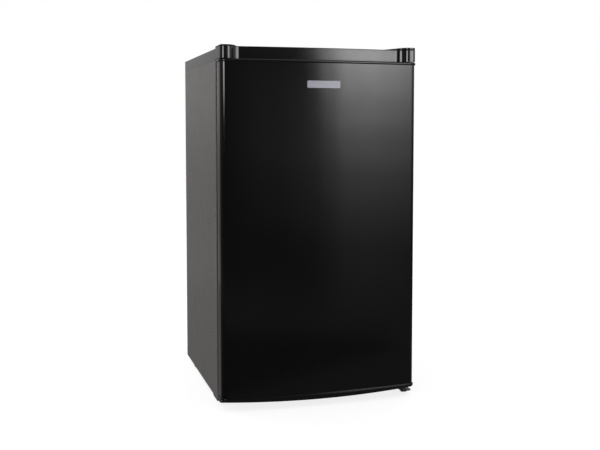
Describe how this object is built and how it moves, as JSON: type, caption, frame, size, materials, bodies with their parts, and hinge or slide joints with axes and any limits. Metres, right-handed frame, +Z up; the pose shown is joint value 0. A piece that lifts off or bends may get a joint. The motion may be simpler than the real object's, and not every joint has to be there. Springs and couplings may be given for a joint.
{
  "type": "mini fridge",
  "caption": "Compact free-standing refrigerator with one bowed gloss door, recessed top handle, ice box, glass shelves, crisper and rear condenser.",
  "frame": {"origin": "on the floor at the middle of the width and of the whole depth", "axes": "+Z up, -Y out of the front, +X towards the hinge side"},
  "size_m": [0.4848, 0.5466, 0.854],
  "materials": {
    "side_paint": "satin grey-black paint",
    "door_paint": "high-gloss black",
    "black_gloss": "glossy moulded",
    "worktop_laminate": "chipboard with a dark satin laminate",
    "zinc_steel": "zinc plated",
    "galvanised": "galvanised sheet",
    "foam": "rigid foam",
    "white_plastic": "white vacuum-formed",
    "white_moulding": "white moulded",
    "gasket_rubber": "soft dark grey",
    "black_rubber": "matte",
    "clear_plastic": "clear moulded",
    "shelf_glass": "toughened",
    "evaporator_alu": "lacquered satin",
    "badge_silver": "satin silver",
    "compressor_black": "black enamel",
    "condenser_black": "black enamel",
    "copper": "bare copper tube",
    "relay_plastic": "matte moulded"
  },
  "bodies": {
    "cabinet": {"outer_shell": "side_paint", "back_panel": "galvanised", "insulation_foam": "foam", "inner_liner": "white_plastic", "base_plate": "galvanised", "front_rail": "side_paint", "worktop_frame": "black_gloss", "worktop_board": "worktop_laminate", "top_hinge_bracket": "zinc_steel", "top_hinge_screws": "zinc_steel", "hinge_cover": "black_gloss", "bottom_hinge_bracket": "condenser_black", "bottom_hinge_screws": "zinc_steel", "left_foot_bracket": "condenser_black", "rear_feet": "black_rubber", "spare_cover": "black_gloss", "evaporator_box": "evaporator_alu", "evaporator_screws": "white_moulding", "ice_box_frame": "white_moulding", "thermostat_housing": "white_moulding", "compressor_plate": "galvanised", "compressor": "compressor_black", "compressor_grommets": "black_rubber", "compressor_bolts": "zinc_steel", "relay_cover": "relay_plastic", "cable_gland": "relay_plastic", "evaporation_tray": "relay_plastic", "drain_spout": "white_moulding", "condenser_tube": "condenser_black", "condenser_wires": "condenser_black", "condenser_brackets": "relay_plastic", "condenser_screws": "zinc_steel", "filter_drier": "copper", "refrigerant_pipes": "copper"},
    "door": {"door_skin": "door_paint", "door_foam": "foam", "door_liner": "white_plastic", "door_gasket": "gasket_rubber", "door_top_cap": "black_gloss", "door_bottom_cap": "black_gloss", "hinge_bushes": "white_moulding", "badge": "badge_silver"},
    "door_bin_upper": {"door_bin_upper": "clear_plastic"},
    "door_bin_middle": {"door_bin_middle": "clear_plastic"},
    "bottle_rack": {"bottle_rack": "clear_plastic"},
    "shelf_upper": {"shelf_upper_glass": "shelf_glass", "shelf_upper_trim": "white_moulding"},
    "shelf_lower": {"shelf_lower_glass": "shelf_glass", "shelf_lower_trim": "white_moulding"},
    "crisper_cover": {"crisper_cover_glass": "shelf_glass", "crisper_cover_trim": "white_moulding"},
    "crisper_drawer": {"crisper_drawer": "clear_plastic"},
    "drip_tray": {"drip_tray": "clear_plastic"},
    "freezer_flap": {"freezer_flap": "white_moulding"},
    "thermostat_knob": {"thermostat_knob": "white_moulding"},
    "foot_right": {"foot_right": "zinc_steel"},
    "foot_left": {"foot_left": "zinc_steel"}
  },
  "joints": [
    {"name": "door_hinge", "type": "hinge", "parent": "cabinet", "child": "door", "pos_m": [0.222, -0.2357, 0.42], "axis": [0, 0, 1], "range_deg": [0, 110]},
    {"name": "bin_upper_lift", "type": "slide", "parent": "door", "child": "door_bin_upper", "axis": [0, 0, 1], "range_m": [0, 0.03]},
    {"name": "bin_middle_lift", "type": "slide", "parent": "door", "child": "door_bin_middle", "axis": [0, 0, 1], "range_m": [0, 0.03]},
    {"name": "bottle_rack_lift", "type": "slide", "parent": "door", "child": "bottle_rack", "axis": [0, 0, 1], "range_m": [0, 0.03]},
    {"name": "shelf_upper_slide", "type": "slide", "parent": "cabinet", "child": "shelf_upper", "axis": [0, -1, 0], "range_m": [0, 0.028]},
    {"name": "shelf_lower_slide", "type": "slide", "parent": "cabinet", "child": "shelf_lower", "axis": [0, -1, 0], "range_m": [0, 0.028]},
    {"name": "crisper_cover_slide", "type": "slide", "parent": "cabinet", "child": "crisper_cover", "axis": [0, -1, 0], "range_m": [0, 0.06]},
    {"name": "crisper_drawer_slide", "type": "slide", "parent": "cabinet", "child": "crisper_drawer", "axis": [0, -1, 0], "range_m": [0, 0.022]},
    {"name": "drip_tray_slide", "type": "slide", "parent": "cabinet", "child": "drip_tray", "axis": [0, -1, 0], "range_m": [0, 0.12]},
    {"name": "freezer_flap_hinge", "type": "hinge", "parent": "cabinet", "child": "freezer_flap", "pos_m": [0, -0.0517, 0.7595], "axis": [-1, 0, 0], "range_deg": [0, 90]},
    {"name": "thermostat_turn", "type": "hinge", "parent": "cabinet", "child": "thermostat_knob", "pos_m": [0.17, -0.0297, 0.572], "axis": [-1, 0, 0], "range_deg": [0, 300]},
    {"name": "foot_right_turn", "type": "hinge", "parent": "cabinet", "child": "foot_right", "pos_m": [0.232, -0.2147, 0.01], "axis": [0, 0, 1], "continuous": true},
    {"name": "foot_left_turn", "type": "hinge", "parent": "cabinet", "child": "foot_left", "pos_m": [-0.222, -0.1757, 0.01], "axis": [0, 0, 1], "continuous": true}
  ]
}
